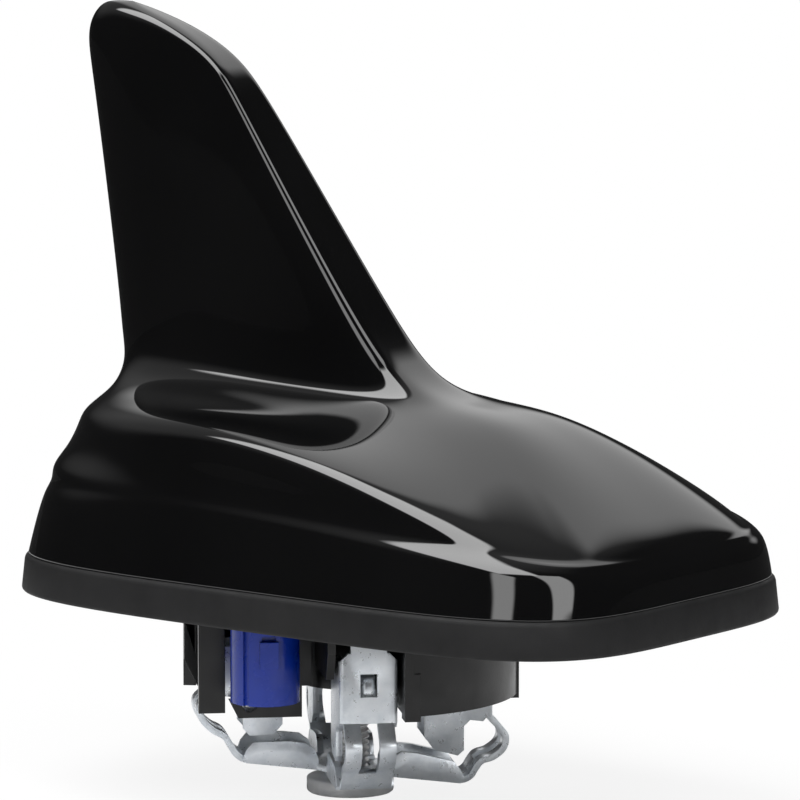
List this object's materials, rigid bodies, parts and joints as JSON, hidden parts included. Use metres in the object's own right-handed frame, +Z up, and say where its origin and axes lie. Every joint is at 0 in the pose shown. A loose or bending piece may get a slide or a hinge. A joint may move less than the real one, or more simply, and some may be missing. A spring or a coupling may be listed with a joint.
{
  "type": "shark fin aerial",
  "caption": "Roof aerial with a gloss black fin cover on a rubber rim, coax sockets and a sprung sheet metal claw drawn up by a screw.",
  "frame": {"origin": "on the roof plane, the rim's underside, where the clamp screw's axis crosses it", "axes": "+X along the car to the nose, +Y to the car's left, +Z up from the roof"},
  "size_m": [0.1205, 0.0764, 0.1251],
  "materials": {
    "gloss_black": "high gloss",
    "rim_rubber": "matte",
    "seal_rubber": "matte",
    "base_plastic": "fine texture",
    "board_green": "solder mask",
    "patch_ceramic": "fired, matte",
    "silver_plate": "silvered",
    "gold_contact": "gold plated",
    "tin_sheet": "tinned",
    "copper_foil": "bare copper",
    "holder_plastic": "satin",
    "socket_blue": "satin",
    "socket_metal": "plated",
    "white_plastic": "satin",
    "socket_claret": "satin",
    "zinc_sheet": "bright zinc plate",
    "screw_steel": "zinc plate",
    "insert_brass": "turned",
    "small_steel": "zinc plate"
  },
  "bodies": {
    "aerial": {"fin_cover": "gloss_black", "rim_gasket": "rim_rubber", "cover_seal": "seal_rubber", "base_plate": "base_plastic", "main_board": "board_green", "gps_patch": "patch_ceramic", "gps_patch_plate": "silver_plate", "gps_feed_pin": "gold_contact", "shield_can": "tin_sheet", "fin_board": "board_green", "fin_radiator": "copper_foil", "fin_board_holder": "holder_plastic", "contact_spring": "gold_contact", "socket_housing_right": "socket_blue", "socket_tube_right": "socket_metal", "socket_insulator_right": "white_plastic", "socket_pin_right": "gold_contact", "socket_housing_left": "socket_claret", "socket_tube_left": "socket_metal", "socket_insulator_left": "white_plastic", "socket_pin_left": "gold_contact", "threaded_insert": "insert_brass", "board_screws": "small_steel", "cover_screws": "small_steel"},
    "claw": {"claw_spring": "zinc_sheet"},
    "screw": {"clamp_screw": "screw_steel"}
  },
  "joints": [
    {"name": "claw_rise", "type": "slide", "parent": "aerial", "child": "claw", "axis": [0, 0, 1], "range_m": [0, 0.005], "deforming": ["claw_spring"]},
    {"name": "screw_turn", "type": "hinge", "parent": "claw", "child": "screw", "pos_m": [0, 0, -0.0304], "axis": [0, 0, 1], "range_deg": [0, 1800]}
  ],
  "couplings": [
    {"joint": "screw_turn", "follows": "claw_rise", "rad_per_m": 6283.2}
  ]
}
